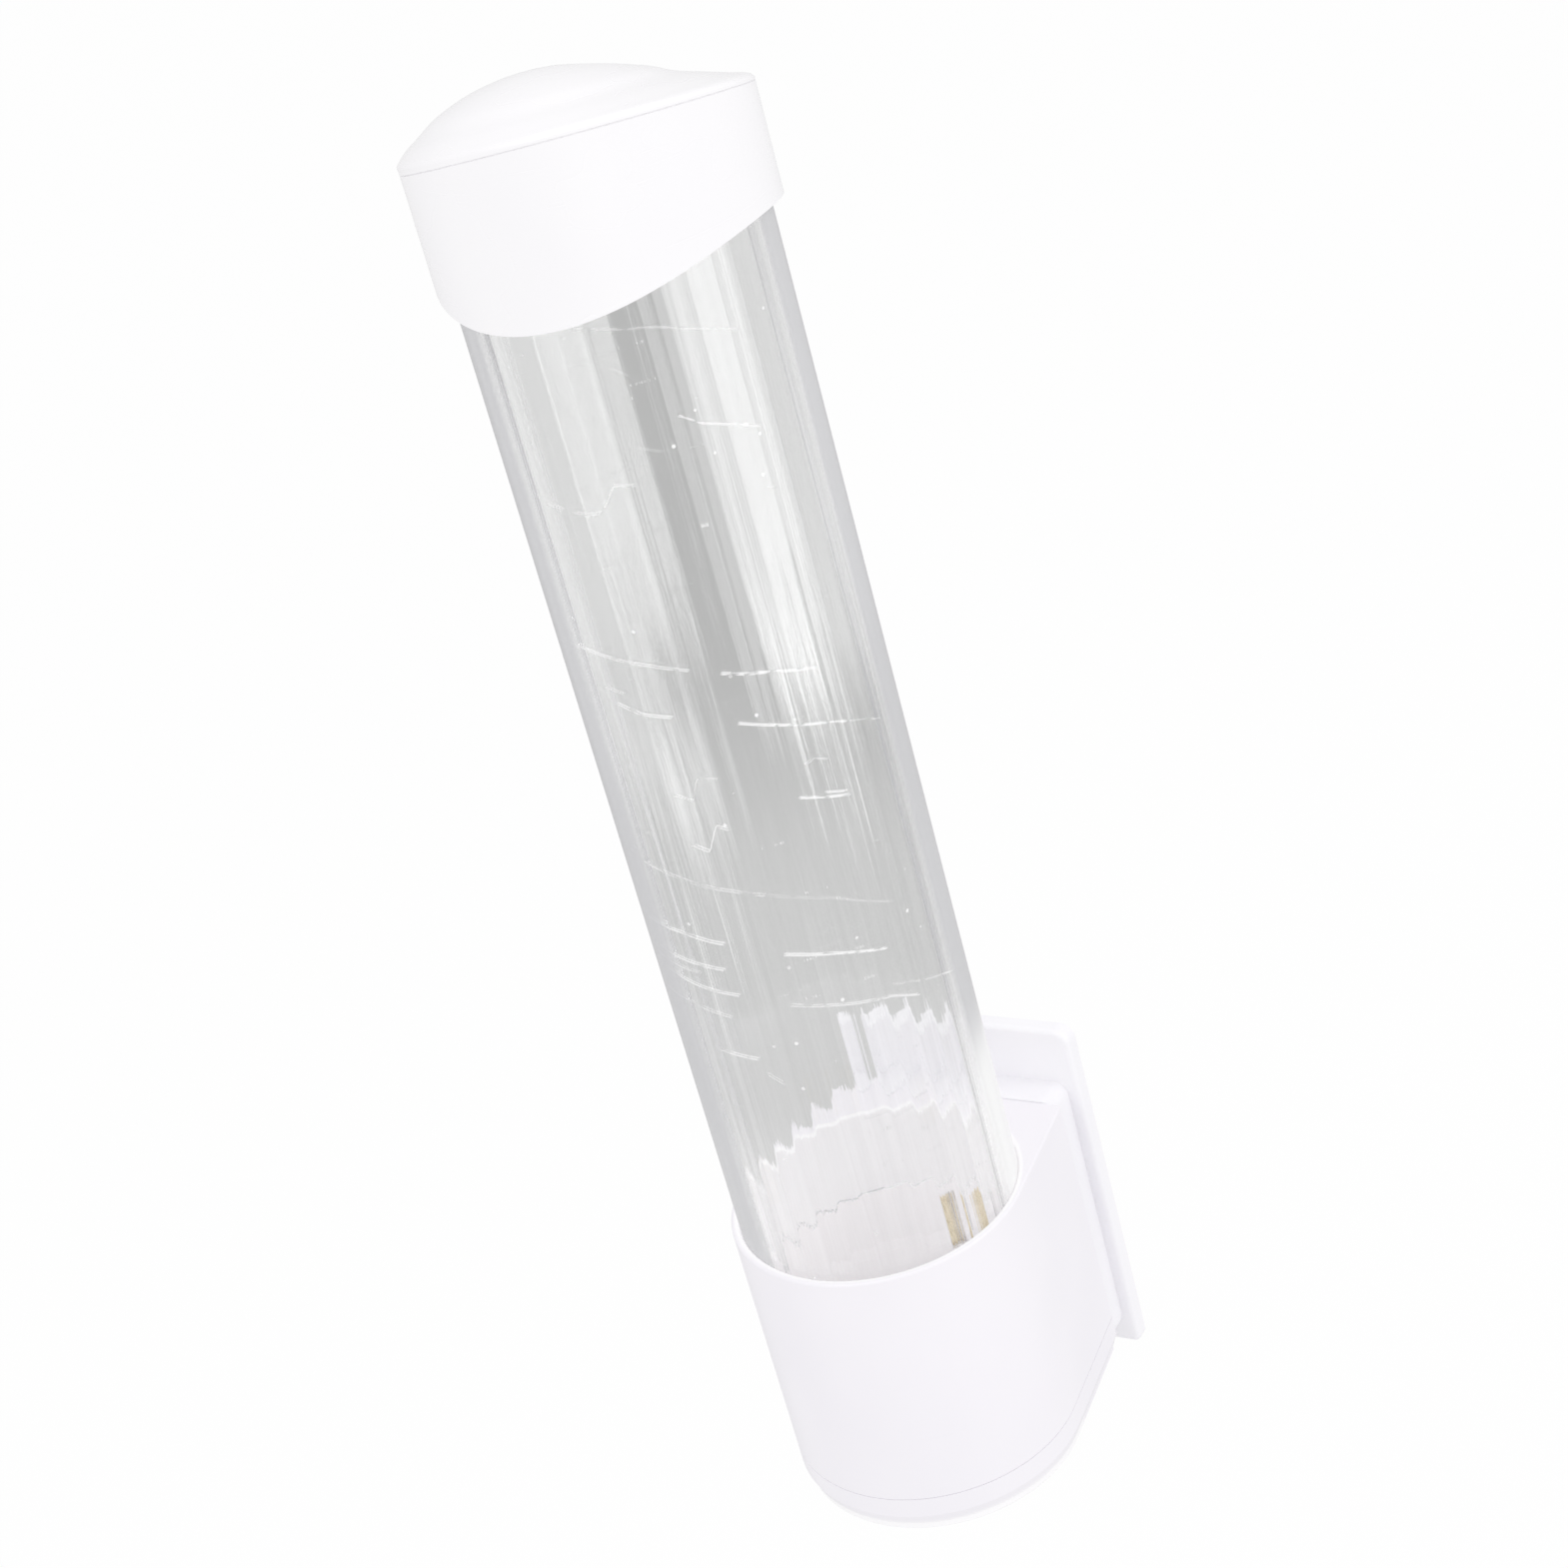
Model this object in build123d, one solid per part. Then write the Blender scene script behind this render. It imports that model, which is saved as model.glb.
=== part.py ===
from build123d import *
from math import acos, atan2, cos, degrees, pi, radians, sin, sqrt, tan
import os

# Wall cup dispenser. X runs along the wall, the wall lies on the +Y side of its back
# face at y = 0, and Z runs up the tube. Lengths are in millimetres.

# Tube
tube_outer_radius = 41.0
tube_wall = 1.8
tube_length = 332.5
flute_count = 36
flute_depth = 0.25

# Holder
holder_wall = 2.4
holder_height = 91.0
bore_clearance = 0.1
tube_seat_depth = 27.5
partition_wall = 2.0
deck_thickness = 2.4
rim_round = 0.7
box_end_width = 74.0
box_corner_round = 1.6
axis_depth = 63.0

# Bottom cover
cover_height = 12.5
cover_floor = 4.0
cover_wall = 2.4
cover_edge_height = 3.2
cover_edge_inset = 1.1
lip_height = 2.6
lip_inset = 1.6
lip_round = 0.4
exit_radius = 38.2
seam_width = 0.2
seam_depth = 0.25

# Cup ring
ring_clearance = 0.1
ring_upper_radius = 39.1
ring_throat_radius = 37.6
ring_step_depth = 18.5
ring_step_height = 3.0
window_width = 9.2
window_top_drop = 3.0
window_foot_gap = 1.7
tab_height = 2.2
throat_lead = 1.6

# Pawls
pawl_count = 3
pawl_width = 8.2
pawl_pivot_radius = 38.8
pawl_drop_share = 0.434
pawl_length_share = 0.336
pawl_boss_radius = 1.1
pawl_nose_height = 3.2
pawl_nose_radius = 35.4
pawl_foot_radius = 36.0
pawl_foot_back_radius = 37.3
pawl_tip_radius = 0.35
pawl_heel_height = 3.6
pawl_heel_gap = 0.08
pin_radius = 0.6
pin_length = 13.0
pin_hole_clearance = 0.02
pawl_hole_clearance = 0.05
pin_end_chamfer = 0.15

# Leaf springs
leaf_thickness = 0.4
leaf_width = 7.6
leaf_bore_gap = 0.22
leaf_reach_share = 0.81
leaf_tab_width = 11.0
leaf_pawl_gap = 0.05

# Locking pin
lock_angle = 17.0
lock_pin_radius = 0.9
lock_pin_length = 12.0
lock_pin_drop = 0.6
lock_slot_clearance = 0.05
lock_pin_chamfer = 0.3

# Cover screws
screw_shank_radius = 1.4
screw_length = 14.0
screw_head_radius = 2.8
screw_head_height = 1.8
screw_drive_radius = 1.1
screw_drive_depth = 1.0
screw_boss_radius = 3.4
screw_boss_height = 17.0
screw_hole_clearance = 0.05
screw_inset = 5.2
screw_well_clearance = 0.3

# Wall bracket
bracket_width = 74.8
bracket_height = 116.0
plate_above_rim = 18.0
plate_thickness = 5.0
plate_top_round = 4.5
plate_bottom_round = 2.0
plate_edge_round = 1.6
pad_side_margin = 3.8
pad_bottom_margin = 7.0
pad_corner_round = 4.0
pad_depth = 10.2
pad_edge_round = 0.8
bracket_wall = 2.4
bracket_rib = 2.0
wall_screw_spacing = 60.0
wall_screw_hole_radius = 2.3
wall_screw_head_radius = 5.2
wall_screw_head_depth = 3.4
rail_spacing = 36.0
rail_length = 44.0
rail_web_width = 4.0
rail_web_depth = 2.2
rail_head_width = 10.0
rail_head_depth = 1.8
rail_lead = 0.8
slide_gap = 0.35
hang_gap = 0.3

# Lid
lid_outer_radius = 44.4
lid_wall = 2.0
lid_front_drop = 19.2
lid_side_rise = 9.4
lid_slope_height = 15.7
lid_slope_tilt = 13.7
lid_slope_heading = 35.5
lid_edge_height = 0.8
lid_groove_width = 0.3
lid_groove_depth = 0.25
lid_rib_count = 6
lid_rib_width = 2.0
lid_rib_gap = 0.35
lid_seat_gap = 0.3
lid_seat_reach = 2.4
lid_skirt_round = 0.6

# One overrun serves every cut.
overrun = 1.0

# Crown of the lid: height, sideways shift and radius of each level, as shares of the lid radius.
crown_level_shares = [
    (0.060, -0.041, 0.953),
    (0.093, -0.081, 0.879),
    (0.126, -0.116, 0.803),
    (0.166, -0.143, 0.711),
    (0.205, -0.152, 0.642),
    (0.243, -0.171, 0.558),
    (0.276, -0.183, 0.468),
    (0.311, -0.198, 0.351),
    (0.338, -0.197, 0.236),
    (0.354, -0.190, 0.130),
    (0.360, -0.187, 0.050),
]

# Levels
rim_z = bracket_height / 2 - plate_above_rim
holder_bottom_z = rim_z - holder_height
cover_top_z = holder_bottom_z + cover_height
cover_floor_z = holder_bottom_z + cover_floor
tube_seat_z = rim_z - tube_seat_depth
tube_top_z = tube_seat_z + tube_length
ring_height = tube_seat_z - cover_floor_z
pawl_pivot_z = tube_seat_z - pawl_drop_share * ring_height
pawl_length = pawl_length_share * ring_height
pawl_foot_z = pawl_pivot_z - pawl_length
window_top_z = tube_seat_z - window_top_drop
window_bottom_z = pawl_foot_z - window_foot_gap
leaf_top_z = window_top_z + tab_height - leaf_bore_gap
leaf_foot_z = pawl_pivot_z - leaf_reach_share * pawl_length
lock_top_z = tube_seat_z - lock_pin_drop
lid_front_z = tube_top_z - lid_front_drop
lid_slope_z = tube_top_z + lid_slope_height

# Radii and depths that follow
bore_radius = tube_outer_radius + bore_clearance
holder_outer_radius = bore_radius + holder_wall
ring_outer_radius = bore_radius - ring_clearance
bracket_depth = plate_thickness + pad_depth
box_end_depth = axis_depth - bracket_depth - hang_gap
tube_inner_radius = tube_outer_radius - tube_wall
leaf_outer_radius = sqrt((bore_radius - leaf_bore_gap) ** 2 - (leaf_width / 2) ** 2)
leaf_inner_radius = leaf_outer_radius - leaf_thickness
lid_inner_radius = lid_outer_radius - lid_wall
pawl_angles = [90 + 360 / pawl_count * step for step in range(pawl_count)]
pawl_names = ["rear", "left", "right"]


def on_axis(shape):
    """Carries a shape modelled round the origin to the axis of the tube."""
    return Pos(0, -axis_depth, 0) * shape


def turned(shape, angle):
    """Turns a shape that was modelled on the +X side round the tube's axis."""
    return Rot(0, 0, angle) * shape


def upright_cylinder(radius, bottom, top):
    return Pos(0, 0, bottom) * extrude(Circle(radius), top - bottom)


def slab(x_low, x_high, y_low, y_high, z_low, z_high):
    middle = Pos((x_low + x_high) / 2, (y_low + y_high) / 2, z_low)
    return middle * extrude(Rectangle(x_high - x_low, y_high - y_low), z_high - z_low)


def keyhole(radius, half_width, depth, corner):
    """A round front with two tangent walls that run back to a flat end."""
    reach = sqrt(half_width**2 + depth**2)
    touch = atan2(depth, half_width) - acos(radius / reach)
    side = (radius * cos(touch), radius * sin(touch))
    front = ThreePointArc((-side[0], side[1]), (0, -radius), side)
    right = Line(side, (half_width, depth))
    back = Line((half_width, depth), (-half_width, depth))
    left = Line((-half_width, depth), (-side[0], side[1]))
    face = make_face(Curve() + [front, right, back, left])
    if corner > 0:
        ends = face.vertices().sort_by(Axis.Y)[-2:]
        face = fillet(ends, corner)
    return face


def outer_keyhole(inset=0):
    return keyhole(
        holder_outer_radius - inset, box_end_width / 2 - inset, box_end_depth - inset,
        max(box_corner_round - inset, 0),
    )


def make_tube():
    """Round outside, fluted inside: each flute is one flat of the inner wall."""
    outside = Circle(tube_outer_radius)
    inside = RegularPolygon(tube_inner_radius + flute_depth, flute_count)
    body = extrude(outside - inside, tube_length)
    return on_axis(Pos(0, 0, tube_seat_z) * body)


def screw_places():
    """Centres of the two cover screws, in the rear corners of the holder."""
    across = box_end_width / 2 - screw_inset
    back = box_end_depth - screw_inset - holder_wall / 2
    return [(-across, back), (across, back)]


def rail_centres():
    return [-rail_spacing / 2, rail_spacing / 2]


def rail_slot(centre):
    """Room for one T rail of the bracket, open downwards, with its slide gap."""
    bottom = holder_bottom_z - overrun
    top = rail_length / 2 + hang_gap
    web = rail_web_width / 2 + slide_gap
    head = rail_head_width / 2 + slide_gap
    lip_inside = box_end_depth + hang_gap - rail_web_depth + hang_gap
    head_inside = box_end_depth + hang_gap - rail_web_depth - rail_head_depth - slide_gap
    neck = slab(centre - web, centre + web, head_inside, box_end_depth + overrun, bottom, top)
    pocket = slab(centre - head, centre + head, head_inside, lip_inside, bottom, top)
    return neck + pocket


def rail_boss(centre, bottom):
    """Block of the holder that carries one rail slot."""
    half = rail_head_width / 2 + slide_gap + partition_wall
    front = bore_radius
    back = box_end_depth - holder_wall / 2
    return slab(centre - half, centre + half, front, back, bottom, rail_length / 2 + deck_thickness)


def make_holder_body():
    shell = Pos(0, 0, cover_top_z) * extrude(outer_keyhole(), rim_z - cover_top_z)
    rim_edges = shell.edges().group_by(Axis.Z)[-1]
    shell = fillet(rim_edges, rim_round)
    room_face = outer_keyhole(holder_wall) - Circle(bore_radius + partition_wall)
    room_top = rim_z - deck_thickness - cover_top_z + overrun
    room = Pos(0, 0, cover_top_z - overrun) * extrude(room_face, room_top)
    body = shell - room
    bore = upright_cylinder(bore_radius, cover_top_z - overrun, rim_z + overrun)
    for centre in rail_centres():
        body += rail_boss(centre, cover_top_z)
    for place in screw_places():
        boss = upright_cylinder(screw_boss_radius, cover_top_z, cover_top_z + screw_boss_height)
        body += Pos(place[0], place[1], 0) * boss
    body -= bore
    for centre in rail_centres():
        body -= rail_slot(centre)
    hole_radius = screw_shank_radius + screw_hole_clearance
    hole = upright_cylinder(hole_radius, cover_top_z - overrun, cover_top_z + screw_length)
    for place in screw_places():
        body -= Pos(place[0], place[1], 0) * hole
    top_edges = body.edges().filter_by(GeomType.CIRCLE).group_by(Axis.Z)[-1]
    bore_edge = [edge for edge in top_edges if abs(edge.radius - bore_radius) < rim_round / 2]
    body = fillet(bore_edge, rim_round)
    return on_axis(body)


def cover_outside():
    """Outer form of the cover: a slanted lower edge and a lip that stands below it."""
    edge_z = holder_bottom_z + lip_height
    wall_z = edge_z + cover_edge_height
    wall = Pos(0, 0, wall_z) * extrude(outer_keyhole(), cover_top_z - wall_z)
    edge_faces = [Pos(0, 0, edge_z) * outer_keyhole(cover_edge_inset), Pos(0, 0, wall_z) * outer_keyhole()]
    lip = Pos(0, 0, holder_bottom_z) * extrude(outer_keyhole(lip_inset), lip_height)
    lip = fillet(lip.edges().group_by(Axis.Z)[0], lip_round)
    return wall + loft(edge_faces, ruled=True) + lip


def make_bottom_cover():
    outside = cover_outside()
    inside = Pos(0, 0, cover_floor_z) * extrude(outer_keyhole(cover_wall), cover_height)
    body = outside - inside
    for place in screw_places():
        pillar = upright_cylinder(screw_boss_radius, cover_floor_z - overrun, cover_top_z)
        body += Pos(place[0], place[1], 0) * pillar & outside
    body -= upright_cylinder(exit_radius, holder_bottom_z - overrun, cover_floor_z + overrun)
    for centre in rail_centres():
        half = rail_head_width / 2 + slide_gap
        depth = box_end_depth + hang_gap - rail_web_depth - rail_head_depth - slide_gap
        body -= slab(
            centre - half, centre + half, depth, box_end_depth + overrun,
            holder_bottom_z - overrun, cover_top_z + overrun,
        )
    hole_radius = screw_shank_radius + screw_hole_clearance
    hole = upright_cylinder(hole_radius, holder_bottom_z - overrun, cover_top_z + overrun)
    well_radius = screw_head_radius + screw_well_clearance
    well_top = holder_bottom_z + screw_well_depth()
    well = upright_cylinder(well_radius, holder_bottom_z - overrun, well_top)
    for place in screw_places():
        body -= Pos(place[0], place[1], 0) * (hole + well)
    step = outer_keyhole() - outer_keyhole(seam_depth)
    body -= Pos(0, 0, cover_top_z - seam_width) * extrude(step, seam_width + overrun)
    return on_axis(body)


def screw_well_depth():
    """The heads sit just inside the bottom face."""
    return screw_head_height + cover_floor / 2


def make_cover_screws():
    """Two pan head screws, driven from below through the cover into the holder."""
    seat = holder_bottom_z + screw_well_depth()
    shank_top = seat + screw_length
    screws = []
    for place in screw_places():
        head = upright_cylinder(screw_head_radius, seat - screw_head_height, seat)
        low_edge = head.edges().group_by(Axis.Z)[0]
        head = fillet(low_edge, screw_head_height / 2)
        shank = upright_cylinder(screw_shank_radius, seat - overrun, shank_top)
        tip = shank.edges().group_by(Axis.Z)[-1]
        shank = chamfer(tip, screw_shank_radius / 2)
        drive_face = Rectangle(2 * screw_drive_radius, screw_drive_radius / 2)
        drive_face += Rectangle(screw_drive_radius / 2, 2 * screw_drive_radius)
        low = seat - screw_head_height
        drive = Pos(0, 0, low - overrun) * extrude(drive_face, overrun + screw_drive_depth)
        screws.append(on_axis(Pos(place[0], place[1], 0) * (head + shank - drive)))
    return Compound(screws)


def ring_profile():
    """Half section of the cup ring, in radius and height."""
    bottom = cover_floor_z
    step_top = tube_seat_z - ring_step_depth
    points = [
        (ring_outer_radius, bottom),
        (ring_outer_radius, tube_seat_z),
        (ring_upper_radius, tube_seat_z),
        (ring_upper_radius, step_top),
        (ring_throat_radius, step_top - ring_step_height),
        (ring_throat_radius, bottom + throat_lead),
        (ring_throat_radius + throat_lead / 2, bottom),
    ]
    return make_face(Polyline([(radius, 0, height) for radius, height in points], close=True))


def ring_window(angle):
    """Through window for one pawl and its spring, with the recess for the spring's tab."""
    half = window_width / 2
    opening = slab(
        ring_throat_radius - overrun, ring_outer_radius + overrun, -half, half,
        window_bottom_z, window_top_z,
    )
    tab_half = leaf_tab_width / 2 + leaf_bore_gap
    recess = slab(
        leaf_inner_radius - leaf_bore_gap / 2, ring_outer_radius + overrun, -tab_half, tab_half,
        window_top_z - overrun, window_top_z + tab_height,
    )
    return turned(opening + recess, angle)


def cross_cylinder(radius, length):
    """A cylinder that lies across the +X side, at the height of the pawl pivots."""
    lying = Rot(90, 0, 0) * Cylinder(radius, length)
    return Pos(pawl_pivot_radius, 0, pawl_pivot_z) * lying


def make_cup_ring():
    body = revolve(ring_profile(), Axis.Z, 360)
    pin_hole = cross_cylinder(pin_radius + pin_hole_clearance, pin_length + 2 * pin_hole_clearance)
    for angle in pawl_angles:
        body -= ring_window(angle)
        body -= turned(pin_hole, angle)
    slot_half = lock_pin_radius + lock_slot_clearance
    slot = slab(
        ring_upper_radius - overrun, ring_outer_radius + overrun, -slot_half, slot_half,
        lock_top_z - lock_pin_length, tube_seat_z + overrun,
    )
    body -= turned(slot, 90 - lock_angle)
    return on_axis(body)


def make_pawl(angle):
    """A flap that leans inwards to a rounded nose, with a heel that stops it at rest."""
    nose_z = pawl_foot_z + pawl_nose_height
    shoulder = pawl_boss_radius * cos(radians(45))
    points = [
        (pawl_pivot_radius - pawl_boss_radius, pawl_pivot_z),
        (pawl_nose_radius, nose_z),
        (pawl_nose_radius, nose_z - pawl_nose_height / 4),
        (pawl_foot_radius, pawl_foot_z),
        (pawl_foot_back_radius, pawl_foot_z),
        (pawl_pivot_radius + pawl_boss_radius, pawl_pivot_z - shoulder),
        (pawl_pivot_radius + pawl_boss_radius, pawl_pivot_z),
    ]
    outline = make_face(Polyline([(radius, 0, height) for radius, height in points], close=True))
    flap = extrude(outline, pawl_width / 2, dir=(0, 1, 0), both=True)
    tips = flap.edges().filter_by(Axis.Y).sort_by(Axis.Z)[:4]
    flap = fillet(tips, pawl_tip_radius)
    body = flap + cross_cylinder(pawl_boss_radius, pawl_width)
    body += slab(
        pawl_pivot_radius, leaf_inner_radius - pawl_heel_gap, -pawl_width / 2, pawl_width / 2,
        pawl_pivot_z, pawl_pivot_z + pawl_heel_height,
    )
    body -= cross_cylinder(pin_radius + pawl_hole_clearance, pawl_width + 2 * overrun)
    return on_axis(turned(body, angle))


def make_pawl_pin(angle):
    pin = cross_cylinder(pin_radius, pin_length)
    pin = chamfer(pin.edges().filter_by(GeomType.CIRCLE), pin_end_chamfer)
    return on_axis(turned(pin, angle))


def pawl_back_radius(height):
    """Radius of the back of a pawl at rest, at a height below its pivot."""
    top_radius = pawl_pivot_radius + pawl_boss_radius
    share = (pawl_pivot_z - height) / pawl_length
    return top_radius + (pawl_foot_back_radius - top_radius) * share


def make_leaf_spring(angle):
    """Flat strip, held behind the ring by its tab, that bows in to press the pawl's back."""
    bend_top = pawl_pivot_z + pawl_boss_radius
    foot_outer = pawl_back_radius(leaf_foot_z) + leaf_pawl_gap + leaf_thickness
    middle_z = (bend_top + leaf_foot_z) / 2
    middle_outer = (leaf_outer_radius * 2 + foot_outer) / 3
    bend = (leaf_outer_radius, 0, bend_top)
    foot = (foot_outer, 0, leaf_foot_z)
    straight = Line((leaf_outer_radius, 0, leaf_top_z), bend)
    bow = Spline(
        bend, (middle_outer, 0, middle_z), foot,
        tangents=[(0, 0, -1), (foot_outer - middle_outer, 0, leaf_foot_z - middle_z)],
    )
    far_bow = bow.moved(Location((-leaf_thickness, 0, 0)))
    far_straight = straight.moved(Location((-leaf_thickness, 0, 0)))
    cap = Line(straight @ 0, far_straight @ 0)
    tip = Line(bow @ 1, far_bow @ 1)
    face = make_face(Curve() + [straight, bow, tip, far_bow, far_straight, cap])
    strip = extrude(face, leaf_width / 2, dir=(0, 1, 0), both=True)
    tab = slab(
        leaf_inner_radius, leaf_outer_radius, -leaf_tab_width / 2, leaf_tab_width / 2,
        window_top_z + leaf_bore_gap, leaf_top_z,
    )
    tab = tab & upright_cylinder(bore_radius - leaf_bore_gap, holder_bottom_z, rim_z)
    return on_axis(turned(strip + tab, angle))


def make_lock_pin():
    """Upright dowel in the slot of the ring, beside the rear spring."""
    pin = upright_cylinder(lock_pin_radius, lock_top_z - lock_pin_length, lock_top_z)
    pin = chamfer(pin.edges().filter_by(GeomType.CIRCLE), lock_pin_chamfer)
    place = ring_outer_radius - lock_pin_radius - lock_slot_clearance
    return on_axis(turned(Pos(place, 0, 0) * pin, 90 - lock_angle))


def make_bracket():
    """Stepped wall plate, hollow behind on both sides of a spine that takes the wall screws."""
    plate_face = Rectangle(bracket_width, bracket_height)
    plate_face = fillet(plate_face.vertices().group_by(Axis.Y)[-1], plate_top_round)
    plate_face = fillet(plate_face.vertices().group_by(Axis.Y)[0], plate_bottom_round)
    plate = Rot(90, 0, 0) * extrude(plate_face, plate_thickness)
    plate = fillet(plate.edges().group_by(Axis.Y)[0], plate_edge_round)
    pad_bottom = pad_bottom_margin - bracket_height / 2
    pad_width = bracket_width - 2 * pad_side_margin
    pad_face = RectangleRounded(pad_width, rim_z - pad_bottom, pad_corner_round)
    pad = Rot(90, 0, 0) * extrude(pad_face, bracket_depth)
    pad = Pos(0, 0, (rim_z + pad_bottom) / 2) * pad
    pad = fillet(pad.edges().group_by(Axis.Y)[0], pad_edge_round)
    body = plate + pad
    room = slab(
        bracket_wall - pad_width / 2, pad_width / 2 - bracket_wall,
        bracket_wall - bracket_depth, overrun, pad_bottom + bracket_wall, rim_z - bracket_wall,
    )
    spine = wall_screw_head_radius + bracket_wall
    keep = slab(-spine, spine, -bracket_depth, 0, pad_bottom, rim_z)
    keep += slab(
        -pad_width / 2, pad_width / 2, -bracket_depth, 0, -bracket_rib / 2, bracket_rib / 2,
    )
    holes = None
    for height in (-wall_screw_spacing / 2, wall_screw_spacing / 2):
        lying = Pos(0, 0, height) * Rot(90, 0, 0)
        shank = Pos(0, overrun, 0) * lying * extrude(
            Circle(wall_screw_hole_radius), bracket_depth + 2 * overrun
        )
        head = Pos(0, wall_screw_head_depth - bracket_depth, 0) * lying * extrude(
            Circle(wall_screw_head_radius), wall_screw_head_depth + overrun
        )
        holes = shank + head if holes is None else holes + shank + head
    body = body - (room - keep) - holes
    for centre in rail_centres():
        body += make_rail(centre)
    return body


def make_rail(centre):
    low, high = -rail_length / 2, rail_length / 2
    front = -bracket_depth - rail_web_depth
    head = slab(
        centre - rail_head_width / 2, centre + rail_head_width / 2,
        front - rail_head_depth, front, low, high,
    )
    head = chamfer(head.edges().filter_by(Axis.X).sort_by(Axis.Z)[-2:], rail_lead)
    web = slab(
        centre - rail_web_width / 2, centre + rail_web_width / 2, front, -bracket_depth, low, high,
    )
    return head + web


def slope_frame(height, shift=0):
    """Plane of the lid's slope, raised square to itself, on the axis of the tube."""
    tilt = radians(lid_slope_tilt)
    heading = radians(lid_slope_heading)
    uphill = (sin(heading) * cos(tilt), -cos(heading) * cos(tilt), sin(tilt))
    normal = (-sin(heading) * sin(tilt), cos(heading) * sin(tilt), cos(tilt))
    side = (cos(heading), sin(heading), 0)
    climb = height * tan(tilt)
    origin = [
        side[axis] * shift + uphill[axis] * climb + normal[axis] * height for axis in range(3)
    ]
    return Plane(origin=(origin[0], origin[1], origin[2] + lid_slope_z), x_dir=side, z_dir=normal)


def slope_ellipse(radius, height, shift=0):
    """Level of the crown: round when seen from above, lying in the slope."""
    frame = slope_frame(height, shift)
    return frame * Ellipse(radius, radius / cos(radians(lid_slope_tilt)))


def crown(radius, inset):
    """Domed top whose peak stands off to one side and runs out to the other."""
    low = lid_edge_height - inset
    levels = [slope_ellipse(radius, low)]
    for height_share, shift_share, radius_share in crown_level_shares:
        level = height_share * lid_outer_radius
        size = radius_share * radius
        levels.append(slope_ellipse(size, level - inset, shift_share * lid_outer_radius))
    return loft(levels)


def sloped_cylinder(radius, bottom, height):
    """Upright cylinder whose top is cut by the slope."""
    tall = upright_cylinder(radius, bottom, lid_slope_z + 2 * lid_outer_radius)
    above = slope_frame(height) * extrude(Rectangle(6 * radius, 6 * radius), 4 * radius)
    return tall - above


def make_lid():
    outside = sloped_cylinder(lid_outer_radius, lid_front_z, lid_edge_height)
    outside += crown(lid_outer_radius, 0)
    inside = sloped_cylinder(lid_inner_radius, lid_front_z - overrun, lid_edge_height - lid_wall)
    inside += crown(lid_inner_radius, lid_wall)
    body = outside - inside
    wide = 4 * lid_outer_radius
    band = slope_frame(-lid_groove_width / 2) * extrude(Rectangle(wide, wide), lid_groove_width)
    groove = band - upright_cylinder(
        lid_outer_radius - lid_groove_depth, lid_front_z, lid_slope_z + lid_outer_radius
    )
    body -= groove
    for step in range(lid_rib_count):
        body += lid_rib(360 / lid_rib_count * (step + 1 / 2))
    sweep_radius = (lid_outer_radius**2 + lid_side_rise**2) / (2 * lid_side_rise)
    sweep = Rot(90, 0, 0) * Cylinder(sweep_radius, wide)
    return on_axis(body & Pos(0, 0, lid_front_z + sweep_radius) * sweep)


def lid_rib(angle):
    """Rib that centres the lid on the tube and rests on the tube's end."""
    half = lid_rib_width / 2
    seat_z = tube_top_z + lid_seat_gap
    guide = slab(
        tube_outer_radius + lid_rib_gap, lid_inner_radius + lid_wall / 2, -half, half,
        lid_front_z, seat_z + lid_seat_reach,
    )
    shelf = slab(
        tube_outer_radius - lid_seat_reach, lid_inner_radius + lid_wall / 2, -half, half,
        seat_z, seat_z + lid_seat_reach / 2,
    )
    return turned(guide + shelf, angle)


def build_all():
    parts = {
        "wall_bracket": make_bracket(),
        "holder_body": make_holder_body(),
        "bottom_cover": make_bottom_cover(),
        "cover_screws": make_cover_screws(),
        "cup_ring": make_cup_ring(),
        "lock_pin": make_lock_pin(),
        "cup_tube": make_tube(),
        "lid": make_lid(),
    }
    for name, angle in zip(pawl_names, pawl_angles):
        parts["pawl_" + name] = make_pawl(angle)
        parts["pawl_pin_" + name] = make_pawl_pin(angle)
        parts["leaf_spring_" + name] = make_leaf_spring(angle)
    return parts


os.makedirs("parts", exist_ok=True)
for node, solid in build_all().items():
    export_step(solid, "parts/" + node + ".step")
    print(node, round(solid.volume, 1), len(solid.solids()))
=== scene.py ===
# %% [markdown]
# # A wall-hung dispenser for paper cups
# The object is a clear fluted tube with a loose lid. The tube stands in a white holder, and the
# holder hangs on a wall bracket. The hard parts come from the CAD model, so this file is about
# what that model cannot say: how the plastics look, how the tube bends the light, and where the
# light comes from.

# %% Load the frame
import math

import bmesh
import bpy
from mathutils import Matrix, Vector


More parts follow.
